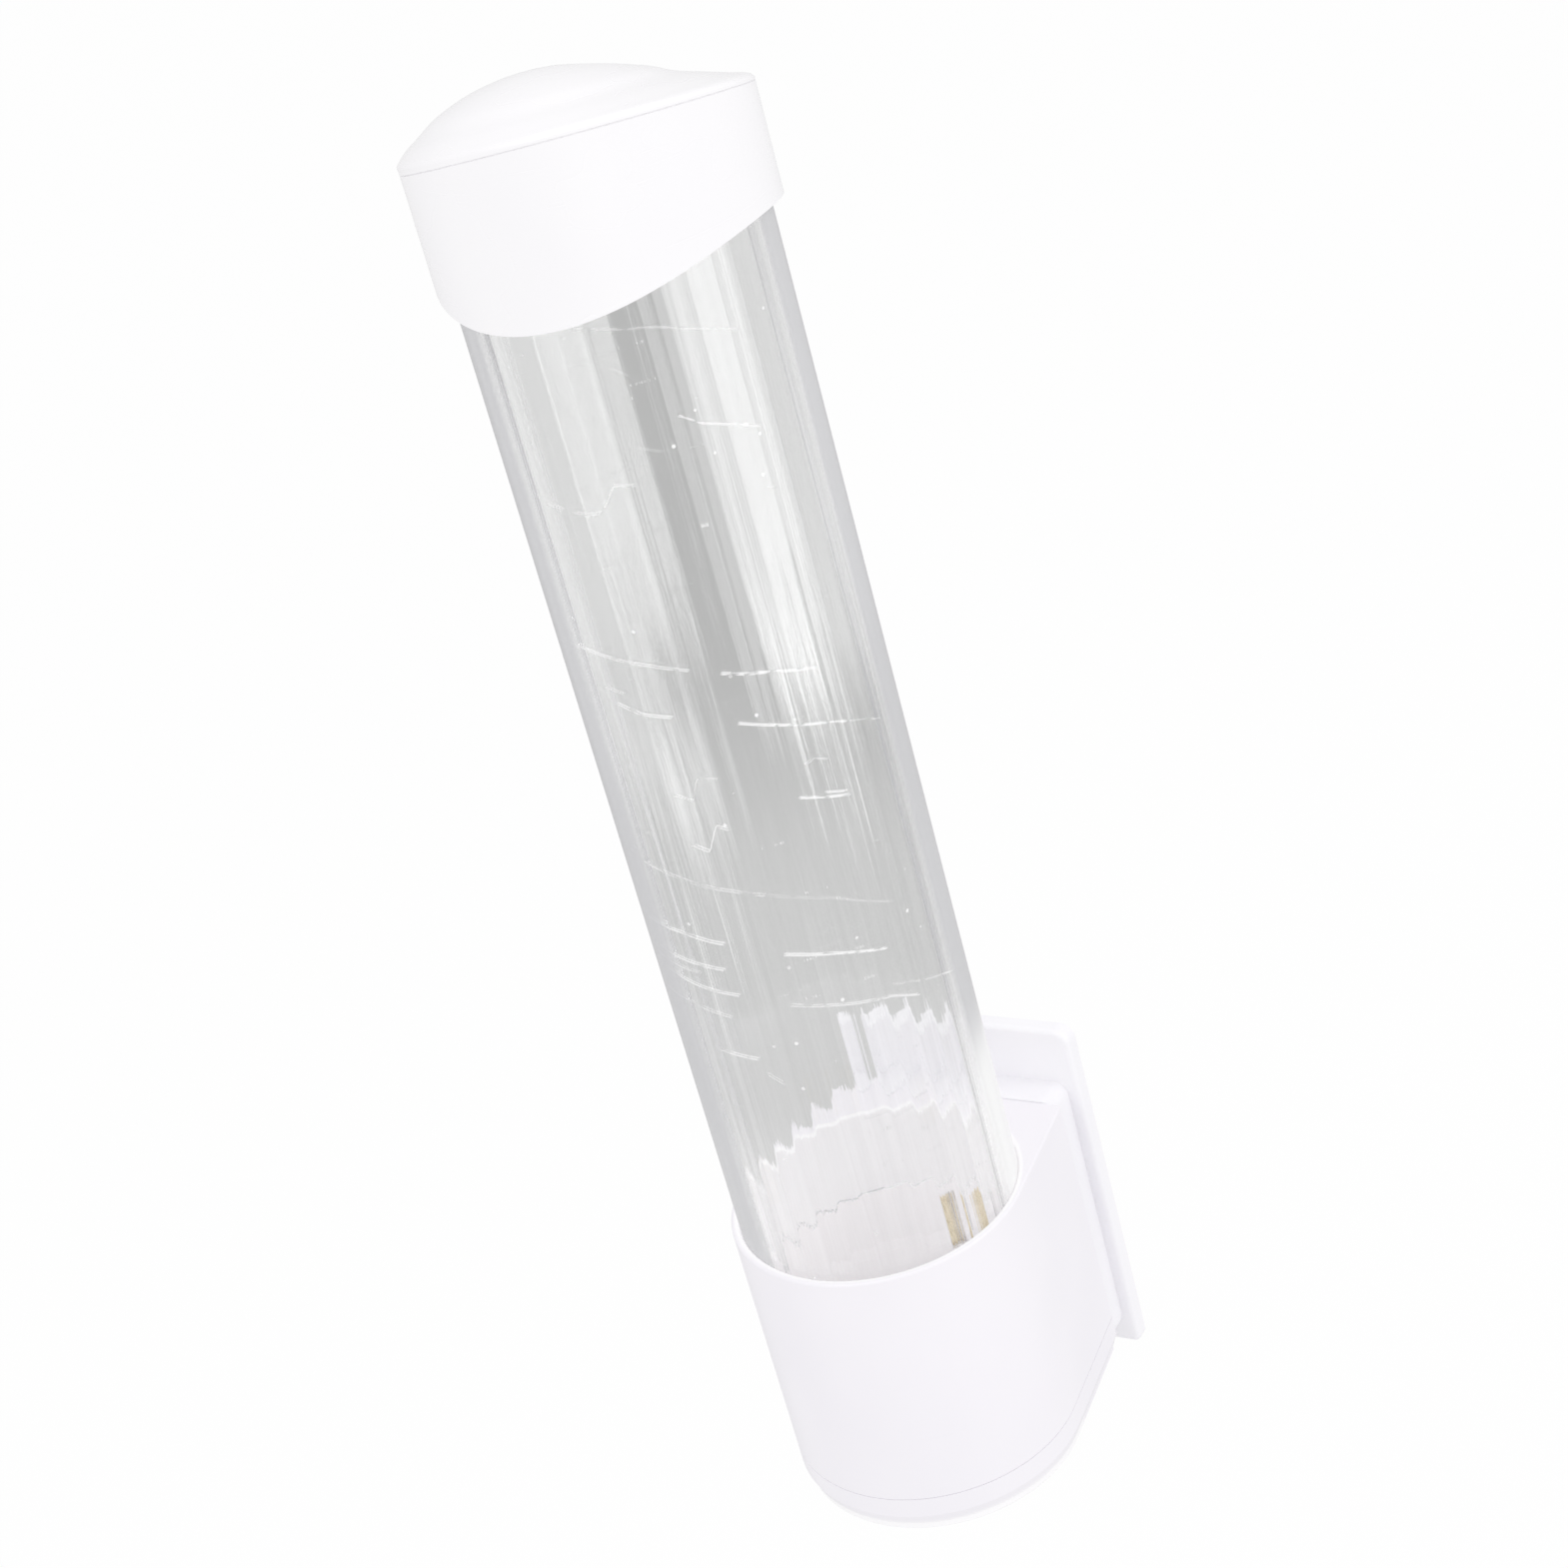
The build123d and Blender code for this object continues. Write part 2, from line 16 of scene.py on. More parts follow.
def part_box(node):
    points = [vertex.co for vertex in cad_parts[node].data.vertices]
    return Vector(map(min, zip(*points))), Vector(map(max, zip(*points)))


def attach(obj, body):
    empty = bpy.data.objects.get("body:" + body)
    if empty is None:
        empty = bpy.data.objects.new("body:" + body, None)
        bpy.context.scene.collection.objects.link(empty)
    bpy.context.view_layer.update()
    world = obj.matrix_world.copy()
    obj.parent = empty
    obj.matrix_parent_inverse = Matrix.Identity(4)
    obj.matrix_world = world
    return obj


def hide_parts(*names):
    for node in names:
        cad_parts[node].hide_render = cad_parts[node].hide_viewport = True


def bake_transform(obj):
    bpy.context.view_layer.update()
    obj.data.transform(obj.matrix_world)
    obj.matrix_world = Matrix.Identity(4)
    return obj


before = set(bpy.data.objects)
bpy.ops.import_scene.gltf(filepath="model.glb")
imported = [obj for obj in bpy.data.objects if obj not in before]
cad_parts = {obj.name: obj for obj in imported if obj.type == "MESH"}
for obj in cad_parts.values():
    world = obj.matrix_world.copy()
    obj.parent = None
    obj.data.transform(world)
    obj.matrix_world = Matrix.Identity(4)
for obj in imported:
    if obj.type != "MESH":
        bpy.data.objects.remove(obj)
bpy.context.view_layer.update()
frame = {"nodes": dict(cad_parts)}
nodes = frame["nodes"]

# %% [markdown]
# The tube's axis is upright, some way in front of the wall. Every radius below is measured from
# it, and the sizes are read from the boxes of the CAD nodes, so that nothing is typed twice.
# The camera's place was solved from the outline of the object in the photograph. It comes this
# early because the marks on the tube and the light patches on the floor are placed by their
# turn round the axis from the camera's side.

# %% Sizes that the model gives, and the camera's place
tube_low, tube_high = (Vector(corner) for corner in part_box("cup_tube"))
axis_y = (tube_low.y + tube_high.y) / 2
tube_radius = (tube_high.x - tube_low.x) / 2
tube_bottom, tube_top = tube_low.z, tube_high.z
print("tube radius %.4f, axis at y %.4f" % (tube_radius, axis_y))
print("tube from z %.4f to %.4f" % (tube_bottom, tube_top))

camera_place = (0.4602, -0.6688, 0.5668)
camera_side = math.atan2(camera_place[1] - axis_y, camera_place[0])
print("the camera stands %.1f degrees round the tube" % math.degrees(camera_side))

# %% [markdown]
# Shader graphs soon become unreadable as lists of nodes. A small class that wraps an output
# socket lets the sums be written as sums: each operator adds one Math node and hands back a new
# wrapped socket. Anything else comes from one method, which takes the node's type, its settings
# and what goes into its sockets. The points of a curve are such a setting too.


# %% Sums on sockets
class Value:
    """An output socket that can be added, multiplied and compared like a number."""

    def __init__(self, nodes, socket):
        self.nodes = nodes
        self.socket = socket

    def sum(self, operation, first, second=0.0):
        return self.nodes.node("Math", {"operation": operation}, {0: first, 1: second})

    def __add__(self, other):
        return self.sum("ADD", self, other)

    def __sub__(self, other):
        return self.sum("SUBTRACT", self, other)

    def __rsub__(self, other):
        return self.sum("SUBTRACT", other, self)

    def __mul__(self, other):
        return self.sum("MULTIPLY", self, other)

    def __truediv__(self, other):
        return self.sum("DIVIDE", self, other)

    def __gt__(self, other):
        return self.sum("GREATER_THAN", self, other)

    __radd__ = __add__
    __rmul__ = __mul__

    def size(self):
        return self.sum("ABSOLUTE", self)

    def capped(self, low, high):
        """Rises smoothly from 0 at the low value to 1 at the high one."""
        settings = {"clamp": True, "interpolation_type": "SMOOTHSTEP"}
        sockets = {"Value": self, "From Min": low, "From Max": high}
        return self.nodes.node("MapRange", settings, sockets)


def set_points(mapping, places):
    """Draws straight lines through places. A new curve has its two end points already."""
    line = mapping.curves[0]
    line.points[0].location = places[0]
    line.points[-1].location = places[-1]
    for place in places[1:-1]:
        line.points.new(*place)
    for point in line.points:
        point.handle_type = "VECTOR"
    mapping.update()


class Nodes:
    """A shader tree of a material or the world."""

    def __init__(self, tree):
        self.tree = tree
        self.tree.nodes.clear()

    def node(self, kind, settings=None, sockets=None, output=0):
        made = self.tree.nodes.new("ShaderNode" + kind)
        for name, value in (settings or {}).items():
            if name == "points":
                set_points(made.mapping, value)
            else:
                setattr(made, name, value)
        for name, value in (sockets or {}).items():
            if isinstance(value, Value):
                self.tree.links.new(value.socket, made.inputs[name])
            else:
                made.inputs[name].default_value = value
        return Value(self, made.outputs[output]) if made.outputs else made

    def path(self, output):
        return self.node("LightPath", output=output)

    def rays(self, seen, mirrored, through, glossed, lit=0.0):
        """A strength for each way to see a place: directly, in a mirror image, through clear
        plastic, in a soft gloss, and as light. Sharp rays have only met the clear plastic."""
        sharp = self.path("Is Singular Ray")
        turned_back = self.path("Glossy Depth") > 0.5
        shown = self.path("Is Camera Ray") * seen
        shown = shown + (self.path("Is Glossy Ray") - sharp) * glossed
        shown = shown + sharp * turned_back * mirrored + sharp * (1 - turned_back) * through
        return shown + self.path("Is Diffuse Ray") * lit

    def separate(self, vector):
        return [self.node("SeparateXYZ", {}, {"Vector": vector}, output=axis) for axis in "XYZ"]

    def blend(self, share, first, second):
        """A colour that goes from the first at a share of 0 to the second at a share of 1."""
        return self.node("Mix", {"data_type": "RGBA"}, {0: share, 6: first, 7: second}, output=2)


# %% [markdown]
# Every material here starts from the same few things: the place on the object, set so that the
# tube's axis is its middle, the turn round that axis and the distance from it. Object
# coordinates give them, and they hold still when the view changes.


# %% A finish
class Finish(Nodes):
    """A material and the nodes that make it."""

    def __init__(self, name):
        self.material = bpy.data.materials.new(name)
        self.material.use_nodes = True
        super().__init__(self.material.node_tree)
        place = self.node("TexCoord", output="Object")
        centred = {"Vector": place, "Location": (0.0, -axis_y, 0.0)}
        self.place = self.node("Mapping", {}, centred)
        self.x, self.y, self.z = self.separate(self.place)

    def turn(self, start):
        """Degrees round the tube's axis from a start, up to half a turn either way."""
        ahead = self.x * math.cos(start) + self.y * math.sin(start)
        aside = self.y * math.cos(start) - self.x * math.sin(start)
        return self.node("Math", {"operation": "ARCTAN2"}, {0: aside, 1: ahead}) * (180 / math.pi)

    def off_axis(self):
        """The distance from the tube's axis."""
        flat_place = self.node("CombineXYZ", {}, {"X": self.x, "Y": self.y})
        length = {"operation": "LENGTH"}
        return self.node("VectorMath", length, {0: flat_place}, output="Value")

    def stretched(self, scale):
        """The place on the object, stretched by a scale along each axis."""
        sockets = {"Vector": self.place, "Scale": scale}
        return self.node("Mapping", {"vector_type": "TEXTURE"}, sockets)

    def noise(self, scale, detail=2.0, roughness=0.5, place=None):
        sockets = {
            "Vector": place or self.place, "Scale": scale, "Detail": detail,
            "Roughness": roughness,
        }
        return self.node("TexNoise", {}, sockets)

    def bump(self, height, strength, distance):
        sockets = {"Height": height, "Strength": strength, "Distance": distance}
        return self.node("Bump", {}, sockets)

    def principled(self, sockets):
        return self.node("BsdfPrincipled", {}, sockets)

    def close(self, shader):
        self.node("OutputMaterial", {}, {"Surface": shader})
        print("finish:", self.material.name, "with", len(self.tree.nodes), "nodes")
        return self.material


# %% [markdown]
# ## Moulded white plastic
# The holder, its cover, the lid and the bracket are injection-moulded ABS: nearly white with a
# breath of lavender, satin rather than glossy. A flat white would look like paper, so the colour
# drifts by a percent or two over a few centimetres, the gloss varies in the same way, and a fine
# bump stands for the texture that the mould leaves. Faint rubbed lines run round the holder,
# where cups and hands pass. The holder's bore is painted paler than its outside: painted light
# that brightens the dimly lit recess.

# %% White plastics
abs_ior = 1.53
rubbed_white = (0.80, 0.79, 0.83, 1)
# painted light: the paler colour painted inside the holder's bore
painted_bore_light = (0.975, 0.965, 0.98, 1)
bore_edge = 0.0004
holder_bore = 0.0425


def moulded_white(name, light, shade, gloss, grain=0.35, rubs=0.0, bore=0.0):
    finish = Finish(name)
    drift = finish.noise(1.0, detail=1.0, place=finish.stretched((0.03, 0.03, 0.09)))
    cloud = finish.noise(45.0, roughness=0.4)
    share = (drift * 0.7 + cloud * 0.3).capped(0.25, 0.75)
    colour = finish.blend(share, (*shade, 1), (*light, 1))
    thin_rings = finish.stretched((0.06, 0.06, 0.0011))
    lines = finish.noise(1.0, detail=5.0, roughness=0.7, place=thin_rings)
    rubbed = lines.capped(0.62, 0.78) * rubs
    rough = gloss + (cloud - 0.5) * 0.12 + rubbed * 0.3
    colour = finish.blend(rubbed * 0.25, colour, rubbed_white)
    if bore:
        # Painted light: inside the bore the colour is painted paler, to brighten the dim recess.
        inside = finish.off_axis().capped(bore + bore_edge, bore - bore_edge)
        colour = finish.blend(inside, colour, painted_bore_light)
    mould_texture = finish.noise(2600.0)
    normal = finish.bump(mould_texture * grain + drift * 4.0, 0.12, 0.00004)
    return finish.close(finish.principled({
        "Base Color": colour, "Roughness": rough, "Normal": normal, "IOR": abs_ior,
    }))


white_holder = moulded_white(
    "holder plastic", (0.925, 0.905, 0.945), (0.895, 0.875, 0.92), 0.36,
    rubs=0.8, bore=holder_bore,
)
white_bracket = moulded_white(
    "bracket plastic", (0.945, 0.935, 0.965), (0.92, 0.91, 0.945), 0.34, rubs=0.4,
)
white_lid = moulded_white(
    "lid plastic", (0.95, 0.94, 0.955), (0.93, 0.92, 0.94), 0.27, grain=0.2, rubs=0.3,
)
white_ring = moulded_white(
    "ring plastic", (0.97, 0.95, 0.965), (0.95, 0.93, 0.945), 0.46, rubs=0.6,
)
white_pawl = moulded_white("pawl plastic", (0.95, 0.93, 0.94), (0.92, 0.90, 0.91), 0.42)

# %% [markdown]
# ## Brass and steel
# The leaf springs are rolled brass strip and the pins are plain steel wire. Rolled and drawn
# metal has long fine lines in the direction of rolling, which the noise gives when it is
# stretched thirty to a hundred times along that direction.

# %% Metals


def drawn_metal(name, bright, dull, stretch, roughness):
    finish = Finish(name)
    lines = finish.noise(1.0, detail=3.0, roughness=0.65, place=finish.stretched(stretch))
    stains = finish.noise(300.0, detail=3.0)
    share = (lines * 0.6 + stains * 0.4).capped(0.35, 0.65)
    colour = finish.blend(share, (*dull, 1), (*bright, 1))
    rough = roughness + (stains - 0.5) * 0.25
    normal = finish.bump(lines, 0.25, 0.00003)
    return finish.close(finish.principled({
        "Base Color": colour, "Metallic": 1.0, "Roughness": rough, "Normal": normal,
    }))


brass = drawn_metal(
    "rolled brass", (0.96, 0.87, 0.66), (0.72, 0.60, 0.38), (0.0002, 0.0002, 0.02), 0.28,
)
steel = drawn_metal(
    "drawn steel", (0.50, 0.50, 0.52), (0.26, 0.25, 0.27), (0.0003, 0.0003, 0.01), 0.32,
)

# %% [markdown]
# ## The clear tube
# The tube is extruded polystyrene: round outside, with flat flutes inside. Each flute is a weak
# prism, and that is why the edge of the holder looks like the teeth of a saw when it is seen
# through the tube. The CAD mesh is made of small flat faces, and glass shows every one of them,
# so the tube is built again here with a truly smooth outer wall. It follows one rule, so
# Geometry Nodes make it. This class keeps the trees short to write, with named inputs.


# %% A Geometry Nodes tree
class Graph:
    """A Geometry Nodes tree with named inputs."""

    def __init__(self, name, inputs):
        self.tree = bpy.data.node_groups.new(name, "GeometryNodeTree")
        interface = self.tree.interface
        interface.new_socket("Geometry", in_out="OUTPUT", socket_type="NodeSocketGeometry")
        self.inputs = {}
        for label, (kind, value) in inputs.items():
            kind = "NodeSocket" + kind
            socket = interface.new_socket(label, in_out="INPUT", socket_type=kind)
            if value is not None:
                socket.default_value = value
            self.inputs[label] = socket
        self.given = self.tree.nodes.new("NodeGroupInput")
        self.result = self.tree.nodes.new("NodeGroupOutput")

    def named(self, label):
        return self.given.outputs[label]

    def node(self, kind, settings=None, sockets=None, output=0):
        made = self.tree.nodes.new(kind)
        for name, value in (settings or {}).items():
            setattr(made, name, value)
        for name, value in (sockets or {}).items():
            if isinstance(value, bpy.types.NodeSocket):
                self.tree.links.new(value, made.inputs[name])
            else:
                made.inputs[name].default_value = value
        return made.outputs[output]

    def math(self, operation, first, second=0.0, third=0.0):
        sockets = {0: first, 1: second, 2: third}
        return self.node("ShaderNodeMath", {"operation": operation}, sockets)

    def run(self, name, values):
        """Makes the result a plain mesh object, with the values put in by their identifiers."""
        maker = bpy.data.objects.new(name + " maker", bpy.data.meshes.new(name + " maker"))
        bpy.context.scene.collection.objects.link(maker)
        modifier = maker.modifiers.new("nodes", "NODES")
        modifier.node_group = self.tree
        for label, value in values.items():
            modifier[self.inputs[label].identifier] = value
        maker.update_tag()
        graph = bpy.context.evaluated_depsgraph_get()
        mesh = bpy.data.meshes.new_from_object(maker.evaluated_get(graph))
        bpy.data.objects.remove(maker)
        mesh.name = name
        made = bpy.data.objects.new(name, mesh)
        bpy.context.scene.collection.objects.link(made)
        return made


# %% [markdown]
# The tube starts as a flat grid. Its columns go once round the axis. Its five rows go round the
# wall: inside at the foot, outside at the foot, outside at the top, inside at the top, and back
# to the start. A comparison with 1.5 or 2.5 that reaches 1 to either side picks the two outer
# or the two top rows. Each point then gets its radius, turn and height, and the doubles at the
# seams are merged. A flute is all but flat: its radius grows as a parabola from its middle to
# the corners between two flutes, and a high power of the same value rounds the corners off.

# %% Nodes for a fluted tube
wall_rows = 4
outer_rows, top_rows, row_reach = 1.5, 2.5, 1.0
corner_power, corner_loss = 10.0, 0.2
seam_nudge = 0.0001
double_distance = 0.00001
soft_bend = math.radians(6)


def fluted_tube_graph():
    graph = Graph("Fluted tube", {
        "Outer radius": ("Float", 0.041),
        "Middle radius": ("Float", 0.039),
        "Flute depth": ("Float", 0.0002),
        "Flutes": ("Int", 36),
        "Steps per flute": ("Int", 20),
        "Bottom": ("Float", 0.0),
        "Top": ("Float", 0.3),
        "Axis": ("Vector", (0.0, 0.0, 0.0)),
        "Plastic": ("Material", None),
    })
    steps = graph.math("MULTIPLY", graph.named("Flutes"), graph.named("Steps per flute"))
    grid = graph.node("GeometryNodeMeshGrid", {}, {
        "Size X": 1.0, "Size Y": float(wall_rows),
        "Vertices X": graph.math("ADD", steps, 1.0), "Vertices Y": wall_rows + 1,
    })
    place = graph.node("GeometryNodeInputPosition")
    across = graph.node("ShaderNodeSeparateXYZ", {}, {0: place}, output=0)
    along = graph.node("ShaderNodeSeparateXYZ", {}, {0: place}, output=1)
    turn = graph.math("ADD", across, 0.5)
    row = graph.math("ADD", along, wall_rows / 2)
    is_outer = graph.math("COMPARE", row, outer_rows, row_reach)
    is_top = graph.math("COMPARE", row, top_rows, row_reach)

    flutes_passed = graph.math("MULTIPLY", turn, graph.named("Flutes"))
    share = graph.math("FRACT", graph.math("ADD", flutes_passed, seam_nudge))
    off_middle = graph.math("ABSOLUTE", graph.math("MULTIPLY_ADD", share, 2.0, -1.0))
    parabola = graph.math("POWER", off_middle, 2.0)
    corner = graph.math("POWER", off_middle, corner_power)
    flute = graph.math("SUBTRACT", parabola, graph.math("MULTIPLY", corner, corner_loss))
    inner = graph.math(
        "MULTIPLY_ADD", graph.named("Flute depth"), flute, graph.named("Middle radius"))
    wall = graph.math("SUBTRACT", graph.named("Outer radius"), inner)
    radius = graph.math("MULTIPLY_ADD", wall, is_outer, inner)
    length = graph.math("SUBTRACT", graph.named("Top"), graph.named("Bottom"))
    height = graph.math("MULTIPLY_ADD", length, is_top, graph.named("Bottom"))

    angle = graph.math("MULTIPLY", turn, 2 * math.pi)
    round_place = graph.node("ShaderNodeCombineXYZ", {}, {
        0: graph.math("MULTIPLY", radius, graph.math("COSINE", angle)),
        1: graph.math("MULTIPLY", radius, graph.math("SINE", angle)),
        2: height,
    })
    final = graph.node(
        "ShaderNodeVectorMath", {"operation": "ADD"}, {0: round_place, 1: graph.named("Axis")})
    body = graph.node("GeometryNodeSetPosition", {}, {"Geometry": grid, "Position": final})
    body = graph.node(
        "GeometryNodeMergeByDistance", {}, {"Geometry": body, "Distance": double_distance})
    bend = graph.node("GeometryNodeInputMeshEdgeAngle", output="Unsigned Angle")
    is_soft = graph.math("LESS_THAN", bend, soft_bend)
    for domain, smooth in (("FACE", True), ("EDGE", is_soft)):
        body = graph.node(
            "GeometryNodeSetShadeSmooth", {"domain": domain},
            {"Geometry": body, "Shade Smooth": smooth})
    body = graph.node("GeometryNodeRealizeInstances", {}, {"Geometry": body})
    body = graph.node(
        "GeometryNodeSetMaterial", {}, {"Geometry": body, "Material": graph.named("Plastic")})
    graph.tree.links.new(body, graph.result.inputs[0])
    return graph


tube_graph = fluted_tube_graph()
print("nodes in the fluted tube's tree:", len(tube_graph.tree.nodes))

# %% [markdown]
# The plastic itself is a dielectric that lets light through. Years of cups have marked it: fine
# slanting arcs where rims have rubbed, squiggles that jump from flute to flute, and small
# specks. The marks that the photograph shows are listed: a strength, then the places that
# each passes, as degrees round the tube from the camera's side and millimetres above its
# foot. Marks that don't overlap on the way round share one pair of curves, so that eleven pairs
# draw all thirty.

# %% Where the marks are
marks = [
    (0.4, [(-21, 312.6), (7, 308.1), (35, 300.0)]),
    (0.7, [(7, 285.2), (13, 281.8), (25, 278.1), (34, 274.7)]),
    (0.5, [(-52, 266.7), (-37, 264.7), (-30, 265.0)]),
    (0.6, [(-27, 266.5), (-22, 271.5), (-15, 270.8)]),
    (0.3, [(-10, 280.4), (-2, 277.9)]),
    (0.3, [(-11, 300.9), (-4, 297.1)]),
    (0.4, [(30, 259.5), (36, 257.5)]),
    (0.7, [(-76, 224.6), (-57, 225.8), (-43, 224.0), (-28, 222.1), (-15, 219.6)]),
    (1.0, [(-3, 216.8), (14, 213.0), (30, 208.7)]),
    (0.5, [(-50, 215.3), (-43, 213.8)]),
    (0.8, [(-47, 210.6), (-38, 208.3), (-26, 207.1)]),
    (1.0, [(-2, 202.2), (16, 197.2), (37, 190.7)]),
    (0.4, [(40, 189.7), (55, 184.7)]),
    (1.0, [(12, 177.1), (30, 171.5)]),
    (0.8, [(22, 175.4), (30, 172.7)]),
    (0.5, [(-33, 184.3), (-27, 182.7), (-23, 189.0), (-16, 188.3)]),
    (0.5, [(17, 185.3), (20, 186.0), (25, 184.2)]),
    (0.8, [(-32, 169.5), (-26, 167.6), (-21, 174.9), (-16, 173.2)]),
    (0.6, [(-59, 161.3), (-39, 158.2), (-22, 155.2), (-11, 152.8)]),
    (0.35, [(-9, 152.4), (13, 146.2), (36, 136.8)]),
    (1.0, [(-71, 141.0), (-51, 141.2), (-32, 139.0)]),
    (0.9, [(-67, 132.7), (-49, 131.8), (-35, 130.7)]),
    (0.5, [(-72, 129.4), (-47, 128.9)]),
    (0.9, [(-65, 125.9), (-47, 124.0), (-32, 122.5)]),
    (0.6, [(-74, 117.6), (-56, 117.4), (-38, 115.4)]),
    (0.9, [(-49, 103.8), (-32, 102.2)]),
    (0.6, [(-29, 97.2), (-24, 94.2)]),
    (1.0, [(-9, 133.9), (9, 130.3), (28, 125.3)]),
    (0.7, [(-12, 118.5), (7, 114.6), (25, 110.9), (37, 106.5)]),
    (0.4, [(28, 113.6), (60, 103.3)]),
]
mark_gap = 4.0
mark_rows = []
for mark in sorted(marks, key=lambda mark: mark[1][0][0]):
    free = [row for row in mark_rows if row[-1][1][-1][0] + mark_gap < mark[1][0][0]]
    if free:
        free[0].append(mark)
    else:
        mark_rows.append([mark])
print("marks on the tube:", len(marks), "drawn by", len(mark_rows), "pairs of curves")

# %% [markdown]
# A curve node takes a share from 0 to 1, so the marked side of the tube is cut to a span of
# degrees and a height. One curve of each pair says how high the mark lies at each turn, and a
# point of the surface that is close to that height is on the mark. The other says how strong
# the mark is there, and lets it fade at its ends, past which the level is held. A slow sway
# keeps the lines from looking ruled.

# %% Curves that draw the marks
marked_span = 160.0
marked_height = 0.340
mark_fade = 1.5
mark_edge, mark_core = 0.00036, 0.0001


def share_of_span(turn):
    """How far a turn lies along the marked span, for a number and a socket alike."""
    return turn / marked_span + 0.5


def curve_round(finish, way_round, places):
    """A curve through places, each a turn in degrees and a value."""
    points = [(share_of_span(turned), value) for turned, value in places]
    points = [(0.0, points[0][1]), *points, (1.0, points[-1][1])]
    return finish.node("FloatCurve", {"points": points}, {"Value": way_round})


def drawn_marks(finish, turn, height):
    """How strongly the marks of the list are drawn at each point of the tube."""
    way_round = share_of_span(turn)
    drawn = 0.0
    for row in mark_rows:
        levels, strengths = [], []
        for strength, places in row:
            (first, first_level), (last, last_level) = places[0], places[-1]
            ends = first - mark_fade, last + mark_fade
            held = [(ends[0], first_level), *places, (ends[1], last_level)]
            levels += [(turned, level / 1000 / marked_height) for turned, level in held]
            strengths += [(ends[0], 0.0), (first, strength), (last, strength), (ends[1], 0.0)]
        level = curve_round(finish, way_round, levels) * marked_height
        on_line = (height - level).size().capped(mark_edge, mark_core)
        drawn = on_line * curve_round(finish, way_round, strengths) + drawn
    return drawn


# %% [markdown]
# The photograph shows only one side, so faint rings in patches mark the far side, and small
# specks from a Voronoi texture are strewn over the whole tube.

# %% Wear that is not on the list
ring_spacing = 0.023
speck_scale = 110.0
clearest_haze = 0.012


def faint_rings(finish, turn, height):
    """Faint rings in patches, on the side that the photograph doesn't show."""
    off_ring = finish.node(
        "TexVoronoi", {"voronoi_dimensions": "1D", "feature": "F1"},
        {"W": height / ring_spacing, "Scale": 1.0}, output="Distance")
    patches = finish.noise(1.0, detail=0.0, place=finish.stretched((0.03, 0.03, 0.022)))
    behind = turn.size().capped(75.0, 85.0)
    return off_ring.capped(0.014, 0.004) * patches.capped(0.6, 0.68) * behind * 0.25


def strewn_specks(finish):
    sockets = {"Vector": finish.place, "Scale": speck_scale}
    off_speck = finish.node("TexVoronoi", {"feature": "F1"}, sockets, output="Distance")
    where = finish.noise(40.0, detail=0.0).capped(0.46, 0.58)
    return off_speck.capped(0.08, 0.04) * where * 0.8


# %% [markdown]
# A mark is where the surface stops being clear, so each is a share of a frosted white shader
# that is mixed into the clear one. The same frost grows where the wall is seen edge on, and for
# light that is caught inside the wall and has bounced there three times, because a worn wall
# scatters it out and that brightens the edge. There the frost's colour is painted grey, as
# painted shade of the wall seen edge on and of the caught light, but not low down on the right,
# where painted light stands for the white holder behind the tube. The die that the tube was
# drawn through leaves fine lines along it: a bump that breaks reflections into streaks.

# %% Clear plastic with marks
styrene_ior = 1.57
clear_tint = (0.995, 0.997, 0.995, 1)
frost_white = (0.95, 0.95, 0.95, 1)
# painted shade: the grey that the frost takes where the wall is seen edge on
painted_edge_shade_grey = (0.62, 0.62, 0.635, 1)
frost_roughness = 0.45
mark_sway, mark_strength = 0.0016, 0.85
edge_rise, edge_band = (0.35, 0.65), (0.50, 0.68)
haze_at_rise, haze_at_band = 0.15, 0.65
bounces_when_caught, haze_when_caught = 2.5, 0.9
holder_heights, holder_turns = (0.095, 0.06), (0.0, 20.0)


def clear_plastic():
    finish = Finish("clear polystyrene")
    turn = finish.turn(camera_side)
    height = finish.z - tube_bottom
    swayed = height + (finish.noise(40.0) - 0.5) * mark_sway
    grain = finish.noise(1.0, place=finish.stretched((0.005, 0.005, 0.0015)))
    drawn = drawn_marks(finish, turn, swayed) + faint_rings(finish, turn, swayed)
    worn = drawn * grain.capped(0.28, 0.5) * mark_strength + strewn_specks(finish)

    facing = finish.node("LayerWeight", {}, {"Blend": 0.5}, output="Facing")
    edge_on = facing.capped(*edge_band)
    edge_haze = facing.capped(*edge_rise) * haze_at_rise + edge_on * haze_at_band
    caught = finish.path("Glossy Depth") > bounces_when_caught
    share = worn + edge_haze + caught * haze_when_caught + clearest_haze
    # Painted shade: the frost is greyed where the wall is seen edge on and where light is caught,
    # and painted light keeps it pale low down on the right, before the white holder.
    painted_light_before_holder = height.capped(*holder_heights) * turn.capped(*holder_turns)
    painted_edge_shade = (edge_on * (1 - painted_light_before_holder) + caught).capped(0.0, 1.0)

    die_lines = finish.noise(
        1.0, detail=3.0, roughness=0.6, place=finish.stretched((0.0022, 0.0022, 0.5)))
    waves = finish.noise(1.0, detail=1.0, place=finish.stretched((0.009, 0.009, 0.2)))
    clear = finish.principled({
        "Base Color": clear_tint, "Roughness": 0.0, "IOR": styrene_ior,
        "Transmission Weight": 1.0, "Normal": finish.bump(die_lines * 0.3 + waves, 0.5, 0.00035),
    })
    frosted = finish.principled({
        "Base Color": finish.blend(painted_edge_shade, frost_white, painted_edge_shade_grey),
        "Roughness": frost_roughness,
    })
    sockets = {0: share.capped(0.0, 1.0), 1: clear, 2: frosted}
    return finish.close(finish.node("MixShader", {}, sockets))


tube_plastic = clear_plastic()

# %% [markdown]
# Now the tree is run with this tube's sizes. The foot stops a tenth of a millimetre above the
# ring that carries it, because two faces in one place render as a black line. The signed volume
# of the mesh tells whether its faces point outwards. The tube casts no shadow and diffuse rays
# pass it by: soft light hardly finds its way through clear plastic in the time of a render, and
# the holder would look dirty inside.

